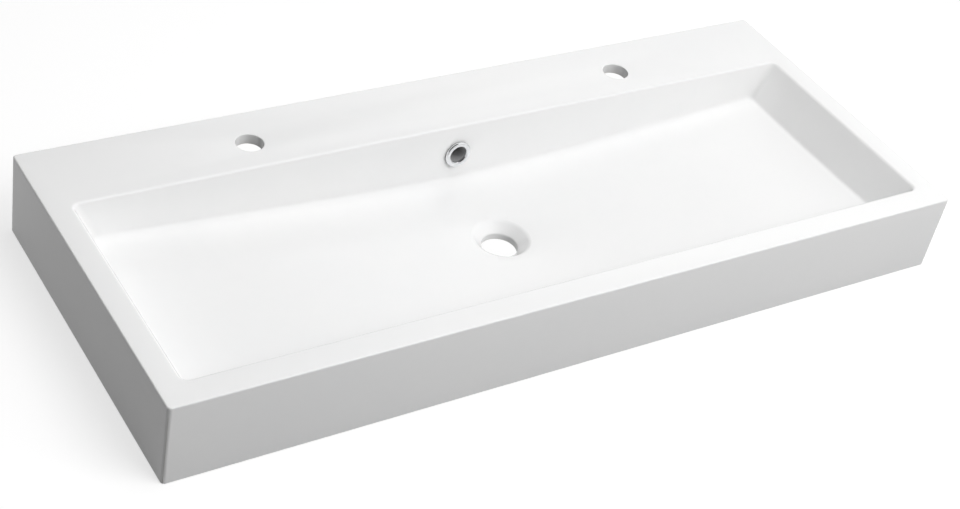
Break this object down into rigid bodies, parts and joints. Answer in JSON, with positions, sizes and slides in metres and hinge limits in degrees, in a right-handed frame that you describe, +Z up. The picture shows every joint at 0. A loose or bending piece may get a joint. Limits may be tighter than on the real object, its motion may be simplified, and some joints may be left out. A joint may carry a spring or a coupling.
{
  "type": "double washbasin",
  "caption": "Wide rectangular trough washbasin with a flat tap deck, two tap holes, a falling floor with a central drain dish, and a chrome overflow ring in the back wall of the bowl.",
  "frame": {"origin": "centre of the base, in the plane of the skirts' feet", "axes": "+X along the width, to the user's right; +Y from the user to the wall; +Z up"},
  "size_m": [1.1, 0.45, 0.11],
  "materials": {
    "cast_mineral": "glossy white gelcoat over cast mineral marble, matt and slightly grainy underneath",
    "chrome": "polished",
    "rubber": "matt black",
    "white_plastic": "moulded, slightly translucent white",
    "brass": "turned"
  },
  "bodies": {
    "root": {"basin_body": "cast_mineral", "overflow_ring": "chrome", "overflow_ring_washer": "rubber", "overflow_elbow": "white_plastic", "overflow_elbow_gasket": "rubber", "wall_fixing_sleeves": "white_plastic", "cabinet_inserts": "brass"}
  },
  "joints": []
}
